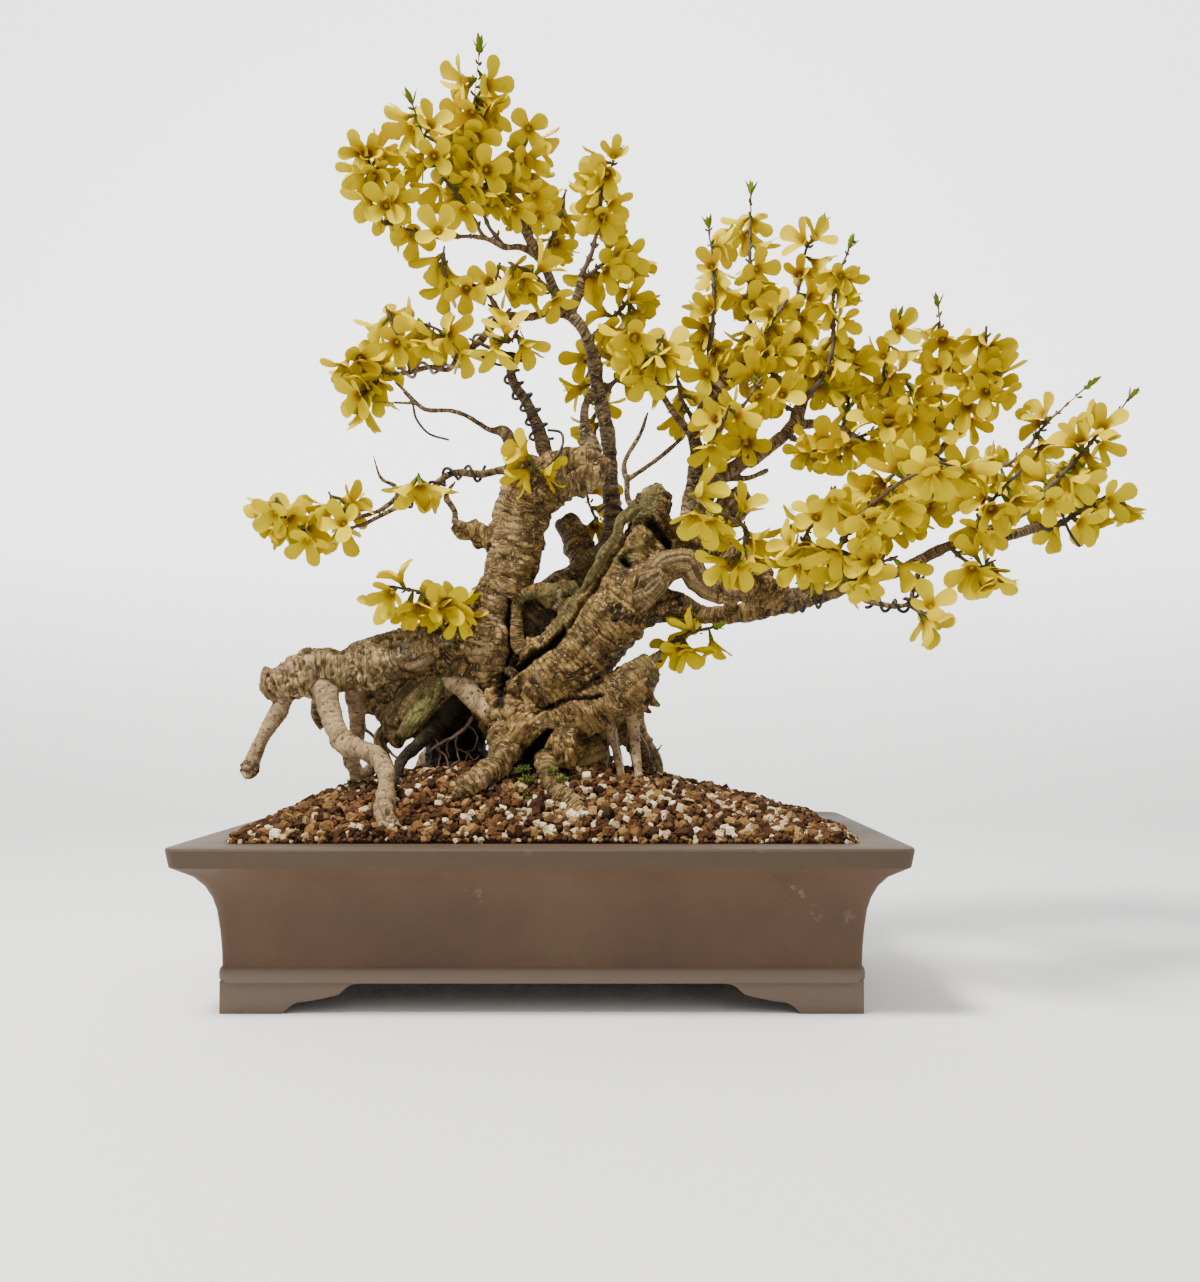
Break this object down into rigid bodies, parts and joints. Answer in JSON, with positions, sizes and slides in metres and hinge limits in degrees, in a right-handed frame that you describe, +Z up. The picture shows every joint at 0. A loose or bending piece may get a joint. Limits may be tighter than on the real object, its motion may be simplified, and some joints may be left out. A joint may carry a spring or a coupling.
{
  "type": "forsythia bonsai",
  "caption": "Flowering forsythia bonsai with exposed roots and a leaning hollow trunk in a rectangular footed stoneware pot.",
  "frame": {"origin": "centre of the overall box at ground level, under the pot's feet", "axes": "+Z up, +X to the right and +Y away from the viewer along the pot's length and depth"},
  "size_m": [0.7758, 0.3664, 0.7835],
  "materials": {
    "stoneware": "unglazed, matt to slightly burnished",
    "screen": "matt plastic mesh",
    "soil": "loose fired-clay and pumice grains",
    "bark": "rough bark and weathered deadwood",
    "wire": "dark anodised, satin",
    "petals": "soft, thin, slightly translucent"
  },
  "bodies": {
    "root": {"pot": "stoneware", "drain_screen_left": "screen", "drain_screen_right": "screen", "soil": "soil", "tree": "bark", "wire_arm": "wire", "wire_low_left": "wire", "wire_right": "wire", "wire_upright": "wire", "spray_arm_inner_twig": "petals", "spray_arm_left_twig": "petals", "spray_arm_right_twig": "petals", "spray_arm_tip": "petals", "spray_column_top_twig": "petals", "spray_crown_back": "petals", "spray_crown_core": "petals", "spray_crown_far_left": "petals", "spray_crown_inner": "petals", "spray_crown_left_up": "petals", "spray_crown_middle": "petals", "spray_crown_peak": "petals", "spray_crown_right": "petals", "spray_far_shoot": "petals", "spray_fork_left_inner": "petals", "spray_fork_left_spray": "petals", "spray_fork_mid_spray": "petals", "spray_front_drape": "petals", "spray_front_high_spray": "petals", "spray_front_left_spray": "petals", "spray_front_low_spray": "petals", "spray_front_right_spray": "petals", "spray_front_spray": "petals", "spray_loop_tip": "petals", "spray_low_left_facing": "petals", "spray_low_left_mid": "petals", "spray_low_left_tip": "petals", "spray_low_shoot": "petals", "spray_mid_tangle": "petals", "spray_middle_front_spray": "petals", "spray_middle_gap_spray": "petals", "spray_rear_back_spray": "petals", "spray_rear_low_spray": "petals", "spray_rear_mid_spray": "petals", "spray_rear_right_spray": "petals", "spray_right_hanging": "petals", "spray_right_rise_spray": "petals", "spray_right_tip_lower": "petals", "spray_right_tip_upper": "petals", "spray_tall_twig": "petals", "spray_tower_a": "petals", "spray_tower_b": "petals", "spray_tower_c": "petals", "spray_tower_d": "petals", "spray_tower_e": "petals", "spray_tower_f": "petals", "spray_tower_g": "petals", "spray_tower_h": "petals", "spray_tower_low": "petals", "spray_trunk_shoot": "petals", "spray_upper_left_arm": "petals"}
  },
  "joints": []
}
